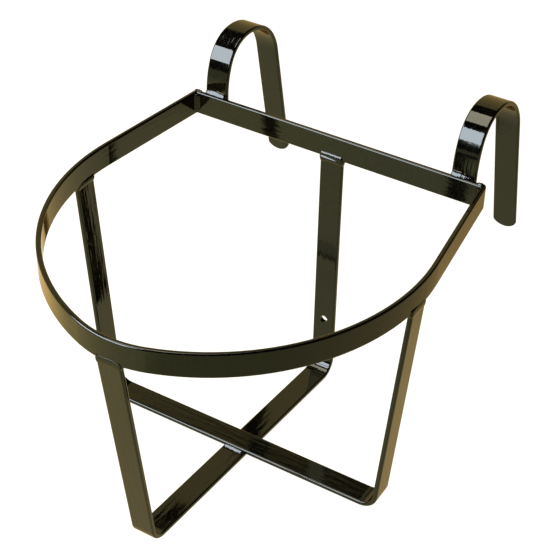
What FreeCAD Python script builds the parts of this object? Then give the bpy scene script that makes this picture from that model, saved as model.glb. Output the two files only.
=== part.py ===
"""Hook-over bucket holder: a welded frame of one flat steel bar section.

A horseshoe ring closed by a straight back bar carries two crossed U straps, the cradle,
and two hooks on the back bar hang it over a rail or a door. Millimetres, +Z up, +X along
the back bar, +Y towards the rail. The pieces are drawn about the middle of the back bar's
top rear edge, and are then moved so that the origin is midway between the hooks, under
their crowns, where the rail's top bears.
"""
import FreeCAD
import Part
import math
import os
from collections import namedtuple

from FreeCAD import Vector

# Flat bar stock, shared by every bar
BAR_WIDTH = 25.0
BAR_THICK = 5.0
EDGE_RADIUS = 1.8

# Ring in plan: nose arc, flank arcs and straight sides that draw in towards the back bar
RING_DEPTH = 365.5
NOSE_RADIUS = 99.0
NOSE_HALF_ANGLE = 19.0
FLANK_RADIUS = 212.5
FLARE_ANGLE = 7.0
CORNER_RADIUS = 4.5

# Hooks, radii of the outer face from the back bar to the tip
HOOK_CENTRE_X = 138.0
HOOK_LAP = 21.0
HOOK_RISE = 1.5
HOOK_RADII = (85.0, 37.0, 58.0)
HOOK_TURNS = (23.5, 59.5, 85.0)
HOOK_TIP_Z = -128.0
TIP_RADIUS = 14.5

# Cradle: the side strap lies on the centre strap, whose floor falls towards the back bar
SIDE_STRAP_Y = -169.0
SIDE_FOOT_X = 155.0
CRADLE_Z = -269.5
FRONT_FOOT_Y = -330.0
FLOOR_FALL = 5.5
STRAP_BEND_RADIUS = 14.0
SCREW_HOLE_RADIUS = 4.5
SCREW_HOLE_Z = -227.0

# Weld beads
FILLET_LEG = 4.2
FILLET_BULGE = 0.35
HOOK_WELD_FOOT = 4.4
HOOK_WELD_RISE = 5.6
CORNER_WELD_GAP = 3.5
BEAD_ROUND = 1.2
BEAD_REACH = 4.0
INSIDE_CAP = 1.8
OUTSIDE_CAP = 0.6
END_CAP = 1.4
BACK_CAP = 2.4
BACK_BEAD_RISE = 5.5
TOP_BEAD_LENGTH = 10.0
TOP_BEAD_HEIGHT = 1.8

# Bars are drawn this much too long where a straight cut ends them, and cutters pass
# through a bar by this much on each side
CUT_ALLOWANCE = 12.0
CUTTER_SIZE = 1000.0
LENGTH_TOLERANCE = 0.1

BACK_BAR_UNDERSIDE = -BAR_WIDTH
HALF_WIDTH = BAR_WIDTH / 2.0
ORIGIN = Vector(0, 0, 0)

Run = namedtuple("Run", "length")
Bend = namedtuple("Bend", "radius turn")

# Drawing planes: the path's two directions, then the direction of the bar's width
PLAN = FreeCAD.Rotation(Vector(1, 0, 0), Vector(0, 1, 0), Vector(0, 0, 1), "XYZ")
SIDE_VIEW = FreeCAD.Rotation(Vector(0, 1, 0), Vector(0, 0, 1), Vector(1, 0, 0), "XYZ")
FRONT_VIEW = FreeCAD.Rotation(Vector(1, 0, 0), Vector(0, 0, 1), Vector(0, -1, 0), "XYZ")


def direction(angle):
    """Unit vector at an angle in degrees from the drawing plane's first direction."""
    radians = math.radians(angle)
    return Vector(math.cos(radians), math.sin(radians), 0)


def walk(start, heading, moves, side=0.0):
    """Edges of the path that runs beside the moves, side millimetres to their right."""
    edges = []
    point = start + direction(heading - 90) * side
    for move in moves:
        if isinstance(move, Run):
            end = point + direction(heading) * move.length
            edges.append(Part.LineSegment(point, end).toShape())
        else:
            hand = math.copysign(1.0, move.turn)
            radius = move.radius + hand * side
            outwards = heading - hand * 90
            centre = point - direction(outwards) * radius
            middle = centre + direction(outwards + move.turn / 2) * radius
            end = centre + direction(outwards + move.turn) * radius
            edges.append(Part.Arc(point, middle, end).toShape())
            heading += move.turn
        point = end
    return edges, point


def flat_bar(plane, start, heading, moves, centre):
    """Bar of the stock section, bent along the moves, with its thickness to their right."""
    near, near_end = walk(start, heading, moves)
    far, far_end = walk(start, heading, moves, BAR_THICK)
    far_start = start + direction(heading - 90) * BAR_THICK
    ends = [Part.LineSegment(near_end, far_end).toShape(),
            Part.LineSegment(far_start, start).toShape()]
    outline = Part.Wire(Part.sortEdges(near + far + ends)[0])
    bar = Part.Face(outline).extrude(Vector(0, 0, BAR_WIDTH))
    long_edges = [edge for edge in bar.Edges if is_long_edge(edge)]
    bar = bar.makeFillet(EDGE_RADIUS, long_edges)
    bar.translate(Vector(0, 0, centre - HALF_WIDTH))
    bar.Placement = FreeCAD.Placement(ORIGIN, plane).multiply(bar.Placement)
    return bar


def is_long_edge(edge):
    """True for the edges along the bar, before it is turned into its plane."""
    first, last = edge.Vertexes[0].Point, edge.Vertexes[-1].Point
    level = abs(first.z - last.z) < LENGTH_TOLERANCE
    across = abs(edge.Length - BAR_THICK) < LENGTH_TOLERANCE
    return level and not across


def through(corners, radii):
    """Start, heading and moves of a path through corner points with a bend at each."""
    legs = [after - before for before, after in zip(corners, corners[1:])]
    headings = [math.degrees(math.atan2(leg.y, leg.x)) for leg in legs]
    turns = [(after - before) % 360 for before, after in zip(headings, headings[1:])]
    setbacks = [radius * math.tan(math.radians(turn) / 2) for radius, turn in zip(radii, turns)]
    moves = []
    for index, leg in enumerate(legs):
        trimmed = leg.Length - sum(setbacks[max(index - 1, 0):index + 1])
        moves.append(Run(trimmed))
        if index < len(turns):
            moves.append(Bend(radii[index], turns[index]))
    return corners[0], headings[0], moves


def half_space(corner, towards):
    """Large block that fills one side of the level or upright plane through a corner."""
    block = Part.makeBox(CUTTER_SIZE, CUTTER_SIZE, CUTTER_SIZE)
    block.translate(Vector(-CUTTER_SIZE / 2, -CUTTER_SIZE / 2, -CUTTER_SIZE / 2))
    block.translate(corner + towards * (CUTTER_SIZE / 2))
    return block


def flank_end():
    """Inner face of the ring where a flank arc meets its straight side."""
    swing = FLANK_RADIUS - NOSE_RADIUS
    nose = math.radians(NOSE_HALF_ANGLE)
    flare = math.radians(FLARE_ANGLE)
    centre = Vector(-swing * math.sin(nose), NOSE_RADIUS - RING_DEPTH + swing * math.cos(nose), 0)
    return centre + Vector(math.cos(flare), math.sin(flare), 0) * FLANK_RADIUS


def ring_half_width(y):
    """Inner half width of the ring on its straight sides."""
    corner = flank_end()
    return corner.x - (y - corner.y) * math.tan(math.radians(FLARE_ANGLE))


def ring_side_x():
    """Inner half width of the ring where it is widest."""
    return FLANK_RADIUS - (FLANK_RADIUS - NOSE_RADIUS) * math.sin(math.radians(NOSE_HALF_ANGLE))


def hoop():
    """Horseshoe ring, its ends cut in line with the back bar's rear face and rounded."""
    straight = -flank_end().y / math.cos(math.radians(FLARE_ANGLE)) + CUT_ALLOWANCE
    rear_y = flank_end().y + straight * math.cos(math.radians(FLARE_ANGLE))
    start = Vector(-ring_half_width(rear_y), rear_y, 0)
    flank_turn = 90 + FLARE_ANGLE - NOSE_HALF_ANGLE
    moves = [Run(straight), Bend(FLANK_RADIUS, flank_turn), Bend(NOSE_RADIUS, 2 * NOSE_HALF_ANGLE),
             Bend(FLANK_RADIUS, flank_turn), Run(straight)]
    ring = flat_bar(PLAN, start, 270 - FLARE_ANGLE, moves, -HALF_WIDTH)
    ring = ring.cut(half_space(ORIGIN, Vector(0, 1, 0)))
    for side in (-1, 1):
        ring = ring.cut(corner_waste(side))
    return ring


def corner_waste(side):
    """Metal dressed off the outer upright edge of a ring end to round it."""
    flare = math.radians(FLARE_ANGLE)
    outer_x = ring_half_width(0) + BAR_THICK / math.cos(flare)
    centre_x = outer_x - CORNER_RADIUS * (1 - math.sin(flare)) / math.cos(flare)
    height = BAR_WIDTH + 2 * CUT_ALLOWANCE
    foot = Vector(centre_x, -CORNER_RADIUS, -BAR_WIDTH - CUT_ALLOWANCE)
    block = Part.makeBox(CORNER_RADIUS + CUT_ALLOWANCE, CORNER_RADIUS, height, foot)
    waste = block.cut(Part.makeCylinder(CORNER_RADIUS, height, foot))
    if side < 0:
        waste = waste.mirror(ORIGIN, Vector(1, 0, 0))
    return waste


def back_bar():
    """Straight bar between the ring's ends."""
    half_length = ring_half_width(-BAR_THICK) + CUT_ALLOWANCE
    bar = flat_bar(PLAN, Vector(-half_length, 0, 0), 0, [Run(2 * half_length)], -HALF_WIDTH)
    for side in (-1, 1):
        wedge = half_space(ORIGIN, Vector(side, 0, 0))
        wedge.rotate(ORIGIN, Vector(0, 0, 1), side * FLARE_ANGLE)
        wedge.translate(Vector(side * ring_half_width(0), 0, 0))
        bar = bar.cut(wedge)
    return bar


def hook_path(moves):
    """Last point of a path that starts up the outer face of a hook from its lower end."""
    return walk(Vector(0, -HOOK_LAP, 0), 90, moves)[1]


def hook_bends():
    """Run and bends of a hook from its lower end to the top of its rear leg."""
    return [Run(HOOK_LAP + HOOK_RISE)] + [Bend(r, -turn) for r, turn in zip(HOOK_RADII, HOOK_TURNS)]


def saddle():
    """Point under the hooks' crowns, midway between the hooks."""
    bends = hook_bends()
    before_crown = sum(HOOK_TURNS[:-1])
    bends[-1] = Bend(HOOK_RADII[-1], before_crown - 90)
    crown = hook_path(bends)
    return Vector(0, crown.x, crown.y - BAR_THICK)


def hook(side):
    """Hook lapped on the back bar's rear face, with a rounded tip."""
    splay = math.radians(180 - sum(HOOK_TURNS))
    leg_top = hook_path(hook_bends())
    leg = (leg_top.y - HOOK_TIP_Z) / math.cos(splay)
    moves = hook_bends() + [Run(leg)]
    bar = flat_bar(SIDE_VIEW, Vector(0, -HOOK_LAP, 0), 90, moves, side * HOOK_CENTRE_X)
    tip = Vector(side * HOOK_CENTRE_X, leg_top.x + leg * math.sin(splay), HOOK_TIP_Z)
    return bar.cut(tip_waste(tip, math.degrees(splay)))


def tip_waste(tip, splay):
    """Metal outside the arc that rounds a hook's tip, drawn about the tip's lowest point."""
    depth = 2 * CUT_ALLOWANCE
    block = Part.makeBox(2 * BAR_WIDTH, depth, TIP_RADIUS)
    block.translate(Vector(-BAR_WIDTH, -CUT_ALLOWANCE, 0))
    centre = Vector(0, -CUT_ALLOWANCE, TIP_RADIUS)
    waste = block.cut(Part.makeCylinder(TIP_RADIUS, depth, centre, Vector(0, 1, 0)))
    waste.rotate(ORIGIN, Vector(1, 0, 0), splay)
    waste.translate(tip)
    return waste


def side_strap():
    """Left-right U strap, whose legs stand under the ring's sides."""
    top_x = ring_side_x()
    lift = CUT_ALLOWANCE
    lean = (top_x - SIDE_FOOT_X) / (BACK_BAR_UNDERSIDE - CRADLE_Z)
    top = Vector(top_x + lift * lean, BACK_BAR_UNDERSIDE + lift, 0)
    corners = [Vector(-top.x, top.y, 0), Vector(-SIDE_FOOT_X, CRADLE_Z, 0),
               Vector(SIDE_FOOT_X, CRADLE_Z, 0), top]
    start, heading, moves = through(corners, [STRAP_BEND_RADIUS] * 2)
    strap = flat_bar(FRONT_VIEW, start, heading, moves, -SIDE_STRAP_Y)
    return strap.cut(above_the_joint())


def above_the_joint():
    """All the space above the underside of the ring, where the straps' legs end."""
    return half_space(Vector(0, 0, BACK_BAR_UNDERSIDE), Vector(0, 0, 1))


def floor_z(y):
    """Height of the centre strap's upper face, which touches the side strap's front edge."""
    contact_y = SIDE_STRAP_Y - HALF_WIDTH
    return CRADLE_Z - BAR_THICK - (y - contact_y) * math.tan(math.radians(FLOOR_FALL))


def centre_strap():
    """Front-back U strap with the fixing hole low in its upright back leg."""
    top_y = -RING_DEPTH
    foot_z = floor_z(FRONT_FOOT_Y)
    lift = CUT_ALLOWANCE
    lean = (FRONT_FOOT_Y - top_y) / (BACK_BAR_UNDERSIDE - foot_z)
    corners = [Vector(top_y - lift * lean, BACK_BAR_UNDERSIDE + lift, 0),
               Vector(FRONT_FOOT_Y, foot_z, 0),
               Vector(-BAR_THICK, floor_z(-BAR_THICK), 0),
               Vector(-BAR_THICK, BACK_BAR_UNDERSIDE + lift, 0)]
    start, heading, moves = through(corners, [STRAP_BEND_RADIUS] * 2)
    strap = flat_bar(SIDE_VIEW, start, heading, moves, 0)
    entry = Vector(0, -CUT_ALLOWANCE, SCREW_HOLE_Z)
    drill = Part.makeCylinder(SCREW_HOLE_RADIUS, 2 * CUT_ALLOWANCE, entry, Vector(0, 1, 0))
    return strap.cut(above_the_joint()).cut(drill)


def fillet_bead(corner, first, second, along, length):
    """Fillet weld in a corner: first and second lie along its two faces."""
    toes = [corner + first, corner + second]
    middle = (toes[0] + toes[1]) * 0.5
    outwards = middle - corner
    outwards.normalize()
    crest = middle + outwards * FILLET_BULGE
    face_edges = [Part.LineSegment(corner, toes[0]).toShape(),
                  Part.Arc(toes[0], crest, toes[1]).toShape(),
                  Part.LineSegment(toes[1], corner).toShape()]
    return Part.Face(Part.Wire(face_edges)).extrude(along * length)


def seam_bead(low, high, neighbours):
    """Rounded bead over a seam, less the bars that it joins."""
    size = high - low
    bead = Part.makeBox(size.x, size.y, size.z, low)
    bead = bead.makeFillet(BEAD_ROUND, bead.Edges)
    for bar in neighbours:
        bead = bead.cut(bar)
    return largest_solid(bead)


def largest_solid(shape):
    """The one solid that a cut leaves, without any thin offcuts."""
    return max(shape.Solids, key=lambda solid: solid.Volume)


def hook_weld(side):
    """Bead on the back bar's top edge against a hook's front face."""
    corner = Vector(side * HOOK_CENTRE_X - HALF_WIDTH, 0, 0)
    forwards, upwards = Vector(0, -HOOK_WELD_FOOT, 0), Vector(0, 0, HOOK_WELD_RISE)
    return fillet_bead(corner, forwards, upwards, Vector(1, 0, 0), BAR_WIDTH)


def hook_lower_weld(side):
    """Bead between a hook's lower end and the back bar's rear face."""
    corner = Vector(side * HOOK_CENTRE_X - HALF_WIDTH, 0, -HOOK_LAP)
    leg = BAR_WIDTH - HOOK_LAP - EDGE_RADIUS
    downwards, backwards = Vector(0, 0, -leg), Vector(0, leg, 0)
    return fillet_bead(corner, downwards, backwards, Vector(1, 0, 0), BAR_WIDTH)


def corner_weld(side):
    """Upright fillet weld inside a back corner of the ring."""
    flare = math.radians(FLARE_ANGLE)
    corner = Vector(side * ring_half_width(-BAR_THICK), -BAR_THICK, CORNER_WELD_GAP - BAR_WIDTH)
    along_ring = Vector(side * math.sin(flare), -math.cos(flare), 0) * FILLET_LEG
    along_bar = Vector(-side * FILLET_LEG, 0, 0)
    height = BAR_WIDTH - CORNER_WELD_GAP - EDGE_RADIUS
    return fillet_bead(corner, along_ring, along_bar, Vector(0, 0, 1), height)


def top_bead(side, ring, bar):
    """Lumpy end of the corner weld, on top of the seam between ring and back bar."""
    middle = side * ring_half_width(0)
    low = Vector(middle - TOP_BEAD_LENGTH / 2, -BAR_THICK, -BEAD_ROUND)
    high = Vector(middle + TOP_BEAD_LENGTH / 2, 0, TOP_BEAD_HEIGHT)
    return seam_bead(low, high, [ring, bar])


def side_strap_weld(side, ring, strap):
    """Bead round the butt joint of a side strap leg under the ring."""
    inner_x = ring_side_x()
    caps = sorted([side * (inner_x - INSIDE_CAP), side * (inner_x + BAR_THICK + OUTSIDE_CAP)])
    half_length = HALF_WIDTH + END_CAP
    low = Vector(caps[0], SIDE_STRAP_Y - half_length, BACK_BAR_UNDERSIDE - BEAD_REACH)
    high = Vector(caps[1], SIDE_STRAP_Y + half_length, BACK_BAR_UNDERSIDE + BEAD_REACH)
    return seam_bead(low, high, [ring, strap])


def front_strap_weld(ring, strap):
    """Bead round the butt joint of the centre strap's front leg under the ring's nose."""
    half_length = HALF_WIDTH + END_CAP
    outer_y = -RING_DEPTH - BAR_THICK - OUTSIDE_CAP
    low = Vector(-half_length, outer_y, BACK_BAR_UNDERSIDE - BEAD_REACH)
    high = Vector(half_length, INSIDE_CAP - RING_DEPTH, BACK_BAR_UNDERSIDE + BEAD_REACH)
    return seam_bead(low, high, [ring, strap])


def back_strap_weld(bar, strap):
    """Heavy bead round the butt joint of the centre strap's back leg under the back bar."""
    half_length = HALF_WIDTH + END_CAP
    low = Vector(-half_length, -BAR_THICK - BACK_CAP, BACK_BAR_UNDERSIDE - BACK_BEAD_RISE)
    high = Vector(half_length, OUTSIDE_CAP, BACK_BAR_UNDERSIDE + BACK_BEAD_RISE)
    return seam_bead(low, high, [bar, strap])


def cross_weld(front, strap, floor):
    """Fillet weld where the side strap crosses the centre strap, along one of its edges."""
    hand = -1 if front else 1
    edge_y = SIDE_STRAP_Y + hand * HALF_WIDTH
    toe = Vector(0, hand * FILLET_LEG, 0)
    foot_z = min(floor_z(edge_y), floor_z(edge_y + toe.y)) - EDGE_RADIUS
    corner = Vector(EDGE_RADIUS - HALF_WIDTH, edge_y, foot_z)
    rise = Vector(0, 0, CRADLE_Z - EDGE_RADIUS - foot_z)
    bead = fillet_bead(corner, toe, rise, Vector(1, 0, 0), BAR_WIDTH - 2 * EDGE_RADIUS)
    return largest_solid(bead.cut(strap).cut(floor))


def build():
    """All pieces by name, drawn about the back bar's top rear edge."""
    ring, bar, floor, cradle = hoop(), back_bar(), centre_strap(), side_strap()
    pieces = {"hoop": ring, "back_bar": bar, "centre_strap": floor, "side_strap": cradle}
    for name, side in (("left", -1), ("right", 1)):
        pieces[name + "_hook"] = hook(side)
        pieces[name + "_hook_weld"] = hook_weld(side)
        pieces[name + "_hook_lower_weld"] = hook_lower_weld(side)
        pieces[name + "_corner_weld"] = corner_weld(side)
        pieces[name + "_corner_top_bead"] = top_bead(side, ring, bar)
        pieces[name + "_strap_weld"] = side_strap_weld(side, ring, cradle)
    pieces["front_strap_weld"] = front_strap_weld(ring, floor)
    pieces["back_strap_weld"] = back_strap_weld(bar, floor)
    pieces["front_cross_weld"] = cross_weld(True, cradle, floor)
    pieces["rear_cross_weld"] = cross_weld(False, cradle, floor)
    return pieces


def main():
    """Write one STEP file for each piece, with the origin under the hooks' crowns."""
    os.makedirs("parts", exist_ok=True)
    origin = saddle()
    print("saddle", origin)
    for name, piece in build().items():
        piece.translate(origin * -1)
        print(name, len(piece.Solids), "valid", piece.isValid(), round(piece.Volume))
        largest_solid(piece).exportStep("parts/" + name + ".step")


main()
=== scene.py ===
"""Looks of a hook-over bucket holder: welded flat bar in glossy black enamel.

The bars are the CAD's own, painted. The weld beads are modelled here with their ripples,
each in the place of the CAD's plain bead. Lengths are in metres unless a name says mm.
"""

import math

import bmesh
import bpy
from mathutils import Matrix, Vector, noise


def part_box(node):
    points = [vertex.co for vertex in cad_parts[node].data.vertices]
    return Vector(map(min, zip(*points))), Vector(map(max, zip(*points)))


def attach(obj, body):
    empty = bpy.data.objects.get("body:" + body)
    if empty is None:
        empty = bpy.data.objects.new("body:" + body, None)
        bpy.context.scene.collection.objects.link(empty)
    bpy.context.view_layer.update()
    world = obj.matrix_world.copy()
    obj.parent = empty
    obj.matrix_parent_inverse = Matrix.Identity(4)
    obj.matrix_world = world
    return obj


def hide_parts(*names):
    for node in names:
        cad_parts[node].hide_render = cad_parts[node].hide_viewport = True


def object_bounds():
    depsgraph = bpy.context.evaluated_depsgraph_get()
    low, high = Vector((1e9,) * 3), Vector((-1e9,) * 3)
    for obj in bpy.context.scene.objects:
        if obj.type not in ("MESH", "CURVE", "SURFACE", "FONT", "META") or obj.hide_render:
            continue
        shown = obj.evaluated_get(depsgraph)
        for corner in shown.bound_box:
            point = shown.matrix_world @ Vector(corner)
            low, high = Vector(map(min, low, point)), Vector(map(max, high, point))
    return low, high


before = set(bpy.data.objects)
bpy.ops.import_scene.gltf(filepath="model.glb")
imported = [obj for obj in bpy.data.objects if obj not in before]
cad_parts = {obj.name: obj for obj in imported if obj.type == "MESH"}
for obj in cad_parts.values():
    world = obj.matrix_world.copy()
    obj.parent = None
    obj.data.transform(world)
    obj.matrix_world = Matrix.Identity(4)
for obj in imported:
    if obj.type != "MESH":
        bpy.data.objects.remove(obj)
cad_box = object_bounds()

MM = 0.001
HAND = {"left": -1, "right": 1}

# Flat bar stock, and how much the ring's straight sides draw in towards the back bar
BAR_THICK = 5 * MM
EDGE_RADIUS = 1.8 * MM
RING_FLARE = math.radians(7)

# Camera: the viewing angle, roll and lens
CAMERA_YAW = math.radians(30.583)
CAMERA_ELEVATION = math.radians(37.202)
CAMERA_ROLL = math.radians(1.358)
CAMERA_DISTANCE = 1.392
CAMERA_LENS = 95.67
CAMERA_CLIP_END = 200
CAMERA_TARGET = Vector((0.0151, -0.1723, -0.1388))

# Soft lights: centre, aim, size, radiance and colour
SOFTBOXES = {
    "window": ((-0.85, -1.28, 0.83), (-0.05, -0.1, 0.1), (1.5, 1.15), 38.0,
               (0.447, 0.475, 0.88)),
    "overhead": ((-0.575, -0.13, 1.62), (-0.575, -0.13, 0.0), (0.77, 1.05), 10.6,
                 (0.845, 0.76, 0.99)),
}

# Light table: its half width, its cover, and its glow in and around the middle; the glow is
# painted light, a floor that glows though it is no lamp
TABLE_REACH = 60
TABLE_COLOUR = (0.08, 0.075, 0.02, 1)
TABLE_ROUGHNESS = 0.95
TABLE_SPECULAR = 0.1
TABLE_GLOW = (1.02, 1.01, 1.0, 1)
# Painted light and shade: dimmer in front and to the right, brighter behind and to the left, for
# the enamel to reflect
NEAR_GLOW = (0.57, 0.57, 0.50, 1)
LEFT_FRONT_GLOW = (1.08, 1.10, 0.95, 1)
LEFT_BACK_GLOW = (1.60, 1.48, 1.30, 1)
RIGHT_GLOW = (0.68, 0.63, 0.56, 1)
FAR_GLOW = (0.80, 0.78, 0.72, 1)

# Where one glow fades into the next: a heading, and where the fade starts and ends along it
NEAR_FADE = ((0.536, -0.844, 0), (0.31, 0.62))
LEFT_FADE = ((-0.767, -0.641, 0), (0.385, 0.50))
LEFT_BACK_FADE = ((0, 1, 0), (-0.45, -0.27))
RIGHT_FADE = ((0.921, 0.389, 0), (0.238, 0.32))
FAR_RADII = (0.95, 1.5)

# Room: a low cream wall behind and to the left, a dark rest, and the table's edge at the horizon
WALL = (0.95, 0.85, 0.62, 1)
DARK_ROOM = (0.008, 0.012, 0.012, 1)
WALL_TOP_FADE = ((0, 0, 1), (0.64, 0.74))
WALL_SIDE_FADE = ((-0.85, 0.52, 0), (0.05, 0.6))
HORIZON_FADE = ((0, 0, 1), (0.0, 0.02))

# Enamel: rolling lines, orange peel, clouds in the gloss, specks in the black
LINE_DETAIL, LINE_ROUGHNESS, LINE_HEIGHT = 2.0, 0.45, 0.11 * MM
PEEL_SCALE, PEEL_DETAIL, PEEL_HEIGHT = 420.0, 1.0, 0.012 * MM
CLOUD_SCALE, CLOUD_DETAIL = 28.0, 4.0
CLOUD_RANGE, GLOSS_RANGE = (0.35, 0.7), (0.035, 0.10)
SPECK_SCALE, SPECK_DETAIL = 420.0, 3.0
SPECK_TONES = ((0.42, (0.0002, 0.0002, 0.0002, 1)), (0.68, (0.0032, 0.0030, 0.0018, 1)))

# The enamel's plain numbers, and those of a thin clear coat over it whose tint, with the specular
# tint, is painted reflection
ENAMEL_SOCKETS = {
    "IOR": 1.5,
    "Specular IOR Level": 0.405,
    # Painted reflection: these tints turn the enamel's reflections olive and tan in place of warm
    # surroundings
    "Specular Tint": (0.835, 1.0, 0.80, 1),
    "Coat Weight": 1.0,
    "Coat IOR": 1.02,
    "Coat Roughness": 0.05,
    "Coat Tint": (0.90, 0.81, 0.60, 1),
}

# Rolling lines are close together across each bar's width and long along it
ACROSS, ALONG, WELD_GRAIN = 260.0, 34.0, 90.0
GRAIN = {"x": (ACROSS, ALONG, ALONG), "y": (ALONG, ACROSS, ALONG), "z": (ALONG, ALONG, ACROSS)}
WIDTH_AXIS = {"hoop": "z", "back_bar": "z", "left_hook": "x", "right_hook": "x",
              "centre_strap": "x", "side_strap": "y"}

# Ripples of the beads, the step between a bead's rings, and the points over its face
RIPPLE_PITCH = 2.1 * MM
RIPPLE_HEIGHT = 0.16 * MM
RIPPLE_CURVE = 0.55
RIPPLE_JITTER = 0.35
RIPPLE_JITTER_MM = 5
RIPPLE_STEEPNESS = 0.8
BEAD_STEP = 0.35 * MM
LOOP_STEP = 0.4 * MM
SECTION_POINTS = 22

# Fillet beads: their round ends, the wander of their toes, and how their toes sink in
END_ROUNDING = 2.2 * MM
END_SIZE = 0.25
LEAST_STEPS = 8
TOE_WANDER = 0.13
TOE_WANDER_MM = 4.0
TOE_SEED_STEP = 3.1
TOE_LANES = (7.7, 2.2)
TOE_SINK = 0.25 * MM
TOE_SHARPNESS = 6
FILLET_RIPPLE_FADE = 0.6
ROOT_DEPTH = 0.5 * MM
TAPER_LOSS, TAPER_POWER = 0.4, 2.5
SWELL_LEAST, SWELL_POWER = 0.5, 0.8
SWELL_START, SWELL_SPAN = 0.12, 0.8
HOOK_END_GAP = 0.4 * MM
HOOK_UNEVENNESS = 0.35
HOOK_BULGE = 0.6 * MM
LOWER_BULGE = 0.3 * MM
CORNER_BULGE = 0.2 * MM
CROSS_BULGE = 0.15 * MM

# Beads round butt joints: their wandering edges, their crown and their hidden root
LOOP_WANDER = 0.18
LOOP_WANDER_MM = 5
LOOP_SEED_STEP = 2.7
LOOP_LOWER_LANE = Vector((9.1, 0, 3.3))
LOOP_CROWN = 0.86
LOOP_ROUNDNESS = 0.75
LOOP_RIPPLE_FADE = 0.8
LOOP_SINK = 0.12 * MM
LOOP_ROOT_SHARE = 0.6
LOOP_ROOT_DEPTH = 1.4 * MM
LOOP_ARC_STEPS = 6

# Groove between the two passes of the heaviest bead
GROOVE_DEPTH = 1.15 * MM
GROOVE_START = 0.28
GROOVE_SLANT = 0.2
GROOVE_WIDTH = 0.17

# Lumps on top of the corner seams
LUMP_ROWS, LUMP_COLUMNS = 18, 28
LUMP_SIZE = 0.86
LUMP_WANDER, LUMP_WANDER_SCALE = 0.16, 1.7
LUMP_LANES = {"left": Vector((-4.0, 1.0, 0.5)), "right": Vector((4.0, 1.0, 0.5))}
SCALLOP_HEIGHT, SCALLOP_SCALE, SCALLOP_CURVE = 0.07, 9, 2.5

# Seeds that keep one bead's ripples from matching another's
SEED = {
    "left_hook_weld": 1.0, "right_hook_weld": 2.0,
    "left_hook_lower_weld": 3.0, "right_hook_lower_weld": 4.0,
    "left_corner_weld": 5.0, "right_corner_weld": 6.0,
    "left_strap_weld": 6.0, "right_strap_weld": 8.0,
    "front_strap_weld": 9.5, "back_strap_weld": 11.5,
    "front_cross_weld": 12.0, "rear_cross_weld": 14.0,
}


def link(obj):
    """Put an object in the scene."""
    bpy.context.scene.collection.objects.link(obj)
    return obj


# ---------------------------------------------------------------- camera and studio

def add_camera():
    """Camera above the front right of the ring, rolled a little."""
    back = Vector((math.sin(CAMERA_YAW) * math.cos(CAMERA_ELEVATION),
                   -math.cos(CAMERA_YAW) * math.cos(CAMERA_ELEVATION),
                   math.sin(CAMERA_ELEVATION)))
    right = Vector((math.cos(CAMERA_YAW), math.sin(CAMERA_YAW), 0))
    above = back.cross(right)
    rolled_right = math.cos(CAMERA_ROLL) * right + math.sin(CAMERA_ROLL) * above
    rolled_above = math.cos(CAMERA_ROLL) * above - math.sin(CAMERA_ROLL) * right
    data = bpy.data.cameras.new("camera")
    data.lens = CAMERA_LENS
    data.clip_end = CAMERA_CLIP_END
    camera = link(bpy.data.objects.new("camera", data))
    axes = Matrix((rolled_right, rolled_above, back)).transposed().to_4x4()
    camera.matrix_world = Matrix.Translation(CAMERA_TARGET + back * CAMERA_DISTANCE) @ axes
    bpy.context.scene.camera = camera


def add_softbox(name, centre, aim, size, radiance, colour):
    """Rectangular soft light of a given brightness, facing the point it is aimed at."""
    data = bpy.data.lights.new(name, "AREA")
    data.shape = "RECTANGLE"
    data.size, data.size_y = size
    data.energy = radiance * math.pi * size[0] * size[1]
    data.color = colour
    light = link(bpy.data.objects.new(name, data))
    light.location = centre
    light.rotation_euler = (Vector(aim) - Vector(centre)).to_track_quat("-Z", "Y").to_euler()
    light.visible_camera = False


def smooth_step(tree, value, ends):
    """Smooth 0 to 1 as a value goes from the first end to the second."""
    share = tree.nodes.new("ShaderNodeMapRange")
    share.interpolation_type = "SMOOTHSTEP"
    share.inputs["From Min"].default_value, share.inputs["From Max"].default_value = ends
    tree.links.new(value, share.inputs["Value"])
    return share.outputs["Result"]


def share_along(tree, place, fade):
    """Smooth 0 to 1 along a fade's heading, from its start to its end."""
    heading, ends = fade
    along = tree.nodes.new("ShaderNodeVectorMath")
    along.operation = "DOT_PRODUCT"
    along.inputs[1].default_value = heading
    tree.links.new(place, along.inputs[0])
    return smooth_step(tree, along.outputs["Value"], ends)


def blend(tree, share, first, second):
    """Colour between two, each of which is a colour or another node's output."""
    mix = tree.nodes.new("ShaderNodeMix")
    mix.data_type = "RGBA"
    tree.links.new(share, mix.inputs["Factor"])
    for socket, value in ((mix.inputs["A"], first), (mix.inputs["B"], second)):
        if isinstance(value, tuple):
            socket.default_value = value
        else:
            tree.links.new(value, socket)
    return mix.outputs["Result"]


def table_glow(tree):
    """The table's glow, painted light: even in the middle, brighter or dimmer to its sides, plain
    cream far out.
    """
    place = tree.nodes.new("ShaderNodeTexCoord").outputs["Object"]
    left_glow = blend(tree, share_along(tree, place, LEFT_BACK_FADE),
                      LEFT_FRONT_GLOW, LEFT_BACK_GLOW)
    glow = blend(tree, share_along(tree, place, NEAR_FADE), TABLE_GLOW, NEAR_GLOW)
    glow = blend(tree, share_along(tree, place, LEFT_FADE), glow, left_glow)
    glow = blend(tree, share_along(tree, place, RIGHT_FADE), glow, RIGHT_GLOW)
    radius = tree.nodes.new("ShaderNodeVectorMath")
    radius.operation = "LENGTH"
    tree.links.new(place, radius.inputs[0])
    return blend(tree, smooth_step(tree, radius.outputs["Value"], FAR_RADII), glow, FAR_GLOW)


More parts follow.
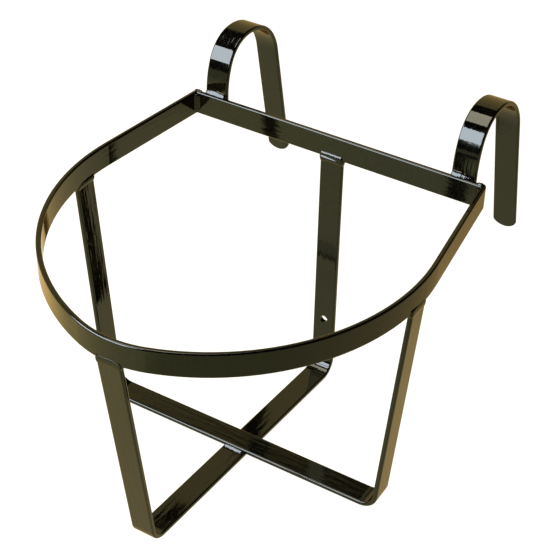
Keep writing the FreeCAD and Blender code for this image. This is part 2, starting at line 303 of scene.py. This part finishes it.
def add_floor():
    """Pale floor under the object that glows as painted light, which washes out its shadows."""
    reach = TABLE_REACH
    low = cad_box[0][2]
    corners = [(-reach, -reach, low), (reach, -reach, low),
               (reach, reach, low), (-reach, reach, low)]
    mesh = bpy.data.meshes.new("floor")
    mesh.from_pydata(corners, [], [(0, 1, 2, 3)])
    material = bpy.data.materials.new("glowing_floor")
    material.use_nodes = True
    tree = material.node_tree
    surface = tree.nodes["Principled BSDF"]
    surface.inputs["Base Color"].default_value = TABLE_COLOUR
    surface.inputs["Roughness"].default_value = TABLE_ROUGHNESS
    surface.inputs["Specular IOR Level"].default_value = TABLE_SPECULAR
    tree.links.new(table_glow(tree), surface.inputs["Emission Color"])
    surface.inputs["Emission Strength"].default_value = 1.0
    mesh.materials.append(material)
    link(bpy.data.objects.new("floor", mesh))


def add_world():
    """Dark room beyond the table's far edge, with a low cream wall behind and to the left."""
    world = bpy.data.worlds.new("studio")
    bpy.context.scene.world = world
    world.use_nodes = True
    tree = world.node_tree
    place = tree.nodes.new("ShaderNodeTexCoord").outputs["Generated"]
    wall = blend(tree, share_along(tree, place, WALL_TOP_FADE), WALL, DARK_ROOM)
    room = blend(tree, share_along(tree, place, WALL_SIDE_FADE), DARK_ROOM, wall)
    sky = blend(tree, share_along(tree, place, HORIZON_FADE), FAR_GLOW, room)
    tree.links.new(sky, tree.nodes["Background"].inputs["Color"])


# ---------------------------------------------------------------- enamel

def add_noise(tree, place, scale, detail, roughness=0.5):
    """Noise pattern over a place, as a number from 0 to 1."""
    pattern = tree.nodes.new("ShaderNodeTexNoise")
    pattern.inputs["Scale"].default_value = scale
    pattern.inputs["Detail"].default_value = detail
    pattern.inputs["Roughness"].default_value = roughness
    tree.links.new(place, pattern.inputs["Vector"])
    return pattern.outputs["Fac"]


def add_bump(tree, height, distance):
    """Bump of a given depth."""
    bump = tree.nodes.new("ShaderNodeBump")
    bump.inputs["Strength"].default_value = 1.0
    bump.inputs["Distance"].default_value = distance
    tree.links.new(height, bump.inputs["Height"])
    return bump


def enamel_relief(tree, place, grain):
    """Normal of fine rolling lines under a little orange peel."""
    stretch = tree.nodes.new("ShaderNodeMapping")
    stretch.inputs["Scale"].default_value = grain
    tree.links.new(place, stretch.inputs["Vector"])
    lines = add_noise(tree, stretch.outputs[0], 1.0, LINE_DETAIL, LINE_ROUGHNESS)
    line_bump = add_bump(tree, lines, LINE_HEIGHT)
    peel_bump = add_bump(tree, add_noise(tree, place, PEEL_SCALE, PEEL_DETAIL), PEEL_HEIGHT)
    tree.links.new(line_bump.outputs[0], peel_bump.inputs["Normal"])
    return peel_bump.outputs[0]


def enamel_roughness(tree, place):
    """Roughness that varies in soft clouds."""
    gloss = tree.nodes.new("ShaderNodeMapRange")
    gloss.inputs["From Min"].default_value, gloss.inputs["From Max"].default_value = CLOUD_RANGE
    gloss.inputs["To Min"].default_value, gloss.inputs["To Max"].default_value = GLOSS_RANGE
    tree.links.new(add_noise(tree, place, CLOUD_SCALE, CLOUD_DETAIL), gloss.inputs["Value"])
    return gloss.outputs[0]


def enamel_colour(tree, place):
    """Black with faint specks."""
    tone = tree.nodes.new("ShaderNodeValToRGB")
    for element, (position, colour) in zip(tone.color_ramp.elements, SPECK_TONES):
        element.position = position
        element.color = colour
    tree.links.new(add_noise(tree, place, SPECK_SCALE, SPECK_DETAIL), tone.inputs[0])
    return tone.outputs[0]


def enamel(name, grain):
    """Glossy black enamel whose rolling lines are closest together along the largest grain."""
    material = bpy.data.materials.new(name)
    material.use_nodes = True
    tree = material.node_tree
    surface = tree.nodes["Principled BSDF"]
    place = tree.nodes.new("ShaderNodeTexCoord").outputs["Object"]
    tree.links.new(enamel_relief(tree, place, grain), surface.inputs["Normal"])
    tree.links.new(enamel_roughness(tree, place), surface.inputs["Roughness"])
    tree.links.new(enamel_colour(tree, place), surface.inputs["Base Color"])
    for socket, value in ENAMEL_SOCKETS.items():
        surface.inputs[socket].default_value = value
    return material


paint = {axis: enamel("black_enamel_" + axis, grain) for axis, grain in GRAIN.items()}
bead_paint = enamel("black_enamel_weld", (WELD_GRAIN, WELD_GRAIN, WELD_GRAIN))


def paint_bar(name):
    """Give a CAD bar its enamel."""
    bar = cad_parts[name]
    bar.data.materials.clear()
    bar.data.materials.append(paint[WIDTH_AXIS[name]])
    for face in bar.data.polygons:
        face.material_index = 0


# ---------------------------------------------------------------- weld beads

def add_bead(name, rings, closed):
    """Mesh through rings of points; an open bead is capped at both ends."""
    mesh = bmesh.new()
    rows = [[mesh.verts.new(point) for point in ring] for ring in rings]
    count = len(rows[0])
    pairs = list(zip(rows, rows[1:])) + ([(rows[-1], rows[0])] if closed else [])
    for low, high in pairs:
        for i in range(count):
            j = (i + 1) % count
            mesh.faces.new((low[i], low[j], high[j], high[i]))
    if not closed:
        mesh.faces.new(list(reversed(rows[0])))
        mesh.faces.new(rows[-1])
    bmesh.ops.recalc_face_normals(mesh, faces=mesh.faces)
    for face in mesh.faces:
        face.smooth = True
    data = bpy.data.meshes.new(name)
    mesh.to_mesh(data)
    mesh.free()
    data.materials.append(bead_paint)
    bead = link(bpy.data.objects.new(name, data))
    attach(bead, "root")
    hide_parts(name)
    bead.name = name + "_bead"


def ripple(distance, across, seed):
    """Height of the weld ripples: overlapping crescents, steeper on their front."""
    curve = RIPPLE_CURVE * (1 - across * across)
    jitter = RIPPLE_JITTER * noise.noise(Vector((distance / MM / RIPPLE_JITTER_MM, seed, 0)))
    phase = (distance / RIPPLE_PITCH - curve + jitter) % 1.0
    return RIPPLE_HEIGHT * (1 - phase) ** RIPPLE_STEEPNESS


def even(share):
    """A bead of one size from end to end."""
    return 1.0


def tapering(share):
    """A bead laid heavily at its start and lightly at its end."""
    return 1.0 - TAPER_LOSS * share ** TAPER_POWER


def swelling(share):
    """A bead that is heaviest in its middle."""
    wave = math.sin(math.pi * (SWELL_START + SWELL_SPAN * share))
    return SWELL_LEAST + (1 - SWELL_LEAST) * wave ** SWELL_POWER


def round_end(from_end):
    """Share of its full size that a bead has at a distance from its nearer end."""
    if from_end >= END_ROUNDING:
        return 1.0
    return END_SIZE + (1 - END_SIZE) * math.sqrt(1 - (1 - from_end / END_ROUNDING) ** 2)


def toe_wander(distance, seed, lane):
    """How far a bead's toe wanders in or out, as a share of its leg."""
    spot = Vector((distance / MM / TOE_WANDER_MM, seed * TOE_SEED_STEP, lane))
    return TOE_WANDER * noise.noise(spot)


def fillet_rings(corner, first, second, along, length, seed, bulge,
                 unevenness=1.0, profile=even):
    """Rings of a rippled fillet bead: its legs lie along first and second."""
    steps = max(LEAST_STEPS, int(length / BEAD_STEP))
    outwards = (first + second).normalized()
    rings = []
    for i in range(steps + 1):
        share = i / steps
        distance = share * length
        size = round_end(min(share, 1 - share) * length) * profile(share)
        toe_one, toe_two = (
            corner + leg * size * (1 + unevenness * toe_wander(distance, seed, lane))
            for leg, lane in zip((first, second), TOE_LANES))
        ring = [corner - outwards * ROOT_DEPTH]
        for k in range(SECTION_POINTS + 1):
            t = k / SECTION_POINTS
            across = 2 * t - 1
            crown = 4 * t * (1 - t)
            ripples = ripple(distance, across, seed) * unevenness * crown ** FILLET_RIPPLE_FADE
            height = (bulge * crown + ripples) * size - TOE_SINK * abs(across) ** TOE_SHARPNESS
            ring.append(toe_one.lerp(toe_two, t) + outwards * height)
        rings.append([point + along * distance for point in ring])
    return rings


def hook_weld(side_name):
    """Bead along the back bar's top edge, against the hook."""
    name = side_name + "_hook_weld"
    low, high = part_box(name)
    corner = Vector((low.x + HOOK_END_GAP, high.y, low.z))
    foot, rise = Vector((0, low.y - high.y, 0)), Vector((0, 0, high.z - low.z))
    rings = fillet_rings(corner, foot, rise, Vector((1, 0, 0)), high.x - low.x - 2 * HOOK_END_GAP,
                         SEED[name], HOOK_BULGE, HOOK_UNEVENNESS,
                         swelling if side_name == "left" else tapering)
    add_bead(name, rings, False)


def hook_lower_weld(side_name):
    """Bead behind the back bar, under the hook's lower end."""
    name = side_name + "_hook_lower_weld"
    low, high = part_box(name)
    corner = Vector((low.x + HOOK_END_GAP, low.y, high.z))
    leg = high.y - low.y
    rings = fillet_rings(corner, Vector((0, 0, -leg)), Vector((0, leg, 0)), Vector((1, 0, 0)),
                         high.x - low.x - 2 * HOOK_END_GAP, SEED[name], LOWER_BULGE)
    add_bead(name, rings, False)


def corner_weld(side_name):
    """Upright bead inside a back corner of the ring."""
    name = side_name + "_corner_weld"
    side = HAND[side_name]
    low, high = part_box(name)
    leg = (high.y - low.y) / math.cos(RING_FLARE)
    outer_x = high.x if side > 0 else low.x
    corner = Vector((outer_x - side * leg * math.sin(RING_FLARE), high.y, low.z))
    along_ring = Vector((side * math.sin(RING_FLARE), -math.cos(RING_FLARE), 0)) * leg
    along_bar = Vector((-side * leg, 0, 0))
    rings = fillet_rings(corner, along_ring, along_bar, Vector((0, 0, 1)), high.z - low.z,
                         SEED[name], CORNER_BULGE)
    add_bead(name, rings, False)


def cross_weld(end_name):
    """Bead along an edge of the side strap where it lies on the centre strap."""
    name = end_name + "_cross_weld"
    low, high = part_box(name)
    front = end_name == "front"
    depth = low.y - high.y if front else high.y - low.y
    corner = Vector((low.x, high.y if front else low.y, low.z))
    rings = fillet_rings(corner, Vector((0, depth, 0)), Vector((0, 0, high.z - low.z)),
                         Vector((1, 0, 0)), high.x - low.x, SEED[name], CROSS_BULGE)
    add_bead(name, rings, False)


def top_bead(side_name):
    """Lumpy end of the corner weld, on top of the seam."""
    name = side_name + "_corner_top_bead"
    low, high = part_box(name)
    centre = (low + high) / 2
    half = (high - low) / 2
    rings = []
    for i in range(1, LUMP_ROWS):
        latitude = math.pi * i / LUMP_ROWS
        ring = []
        for j in range(LUMP_COLUMNS):
            angle = 2 * math.pi * j / LUMP_COLUMNS
            point = Vector((math.sin(latitude) * math.cos(angle),
                            math.sin(latitude) * math.sin(angle), math.cos(latitude)))
            spot = point * LUMP_WANDER_SCALE + LUMP_LANES[side_name]
            lump = LUMP_SIZE + LUMP_WANDER * noise.noise(spot)
            wave = math.sin(point.x * SCALLOP_SCALE + SCALLOP_CURVE * point.y * point.y)
            scale = lump + SCALLOP_HEIGHT * wave * max(0.0, point.z)
            ring.append(centre + point * half * scale)
        rings.append(ring)
    add_bead(name, rings, False)


def outline(half):
    """Points round the bar's section about the origin, each with its distance along it."""
    ring = []
    for sx, sy, start in ((1, 1, 0), (-1, 1, 90), (-1, -1, 180), (1, -1, 270)):
        centre = Vector((sx * (half.x - EDGE_RADIUS), sy * (half.y - EDGE_RADIUS), 0))
        for k in range(LOOP_ARC_STEPS + 1):
            angle = math.radians(start + 90 * k / LOOP_ARC_STEPS)
            ring.append(centre + Vector((math.cos(angle), math.sin(angle), 0)) * EDGE_RADIUS)
    places = []
    travelled = 0.0
    for here, there in zip(ring, ring[1:] + ring[:1]):
        length = (there - here).length
        parts = max(1, int(round(length / LOOP_STEP)))
        for k in range(parts):
            places.append((here.lerp(there, k / parts), travelled + length * k / parts))
        travelled += length
    return places


def stand_out(point, half, inner, outer):
    """How far, and which way, a bead stands out of the bar at a point of its section."""
    x_cap = outer[1].x - inner[1].x if point.x > 0 else inner[0].x - outer[0].x
    y_cap = outer[1].y - inner[1].y if point.y > 0 else inner[0].y - outer[0].y
    edge_x = max(0.0, abs(point.x) - (half.x - EDGE_RADIUS)) / EDGE_RADIUS
    edge_y = max(0.0, abs(point.y) - (half.y - EDGE_RADIUS)) / EDGE_RADIUS
    return Vector((math.copysign(edge_x * x_cap, point.x),
                   math.copysign(edge_y * y_cap, point.y), 0))


def groove(across, x_share):
    """Depth of the groove between two passes, closing towards the face's right end."""
    depth = GROOVE_DEPTH * max(0.0, 1 - x_share ** 3)
    middle = GROOVE_START - GROOVE_SLANT * x_share
    return depth * math.exp(-((across - middle) / GROOVE_WIDTH) ** 2)


def loop_bead(name, x_span, y_span, two_passes=False):
    """Rippled bead round the butt joint of a leg, whose section fills the two spans."""
    low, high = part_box(name)
    inner = [Vector((x, y, z)) for x, y, z in zip(x_span, y_span, (low.z, high.z))]
    centre = (inner[0] + inner[1]) / 2
    half = (inner[1] - inner[0]) / 2
    middle_z = (low.z + high.z) / 2
    reach = (high.z - low.z) / 2
    rings = []
    for point, distance in outline(half):
        push = stand_out(point, half, inner, (low, high))
        normal, cap = push.normalized(), push.length
        spot = Vector((point.x / MM / LOOP_WANDER_MM, point.y / MM / LOOP_WANDER_MM,
                       SEED[name] * LOOP_SEED_STEP))
        up = reach * (1 + LOOP_WANDER * noise.noise(spot))
        down = reach * (1 + LOOP_WANDER * noise.noise(spot + LOOP_LOWER_LANE))
        base = centre + point
        ring = []
        for k in range(SECTION_POINTS + 1):
            across = 2 * k / SECTION_POINTS - 1
            crown = (1 - across * across) ** LOOP_ROUNDNESS
            ripples = ripple(distance, across, SEED[name]) * crown ** LOOP_RIPPLE_FADE
            height = cap * crown * LOOP_CROWN + ripples * min(1.0, cap / MM)
            if two_passes and point.y < 0:
                x_share = (point.x + half.x) / (2 * half.x)
                height -= groove(across, x_share) * min(1.0, cap / (2 * MM))
            offset = up * across if across > 0 else down * across
            ring.append(Vector((base.x, base.y, middle_z + offset))
                        + normal * (height - LOOP_SINK))
        for offset in (up * LOOP_ROOT_SHARE, -down * LOOP_ROOT_SHARE):
            ring.append(Vector((base.x, base.y, middle_z + offset)) - normal * LOOP_ROOT_DEPTH)
        rings.append(ring)
    add_bead(name, rings, True)


def side_strap_weld(side_name):
    """Bead round the butt joint of a side strap leg under the ring."""
    low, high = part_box("side_strap")
    leg = (low.x, low.x + BAR_THICK) if side_name == "left" else (high.x - BAR_THICK, high.x)
    loop_bead(side_name + "_strap_weld", leg, (low.y, high.y))


def centre_strap_welds():
    """Beads round the centre strap's butt joints, the heavy back one laid in two passes."""
    low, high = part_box("centre_strap")
    loop_bead("front_strap_weld", (low.x, high.x), (low.y, low.y + BAR_THICK))
    loop_bead("back_strap_weld", (low.x, high.x), (high.y - BAR_THICK, high.y), two_passes=True)


# ---------------------------------------------------------------- the scene

add_camera()
add_floor()
add_world()
for bar_name in WIDTH_AXIS:
    paint_bar(bar_name)
for hand_name in HAND:
    hook_weld(hand_name)
    hook_lower_weld(hand_name)
    corner_weld(hand_name)
    top_bead(hand_name)
    side_strap_weld(hand_name)
centre_strap_welds()
for end_name in ("front", "rear"):
    cross_weld(end_name)
for box_name, settings in SOFTBOXES.items():
    add_softbox(box_name, *settings)
bpy.context.scene.view_settings.view_transform = "Standard"
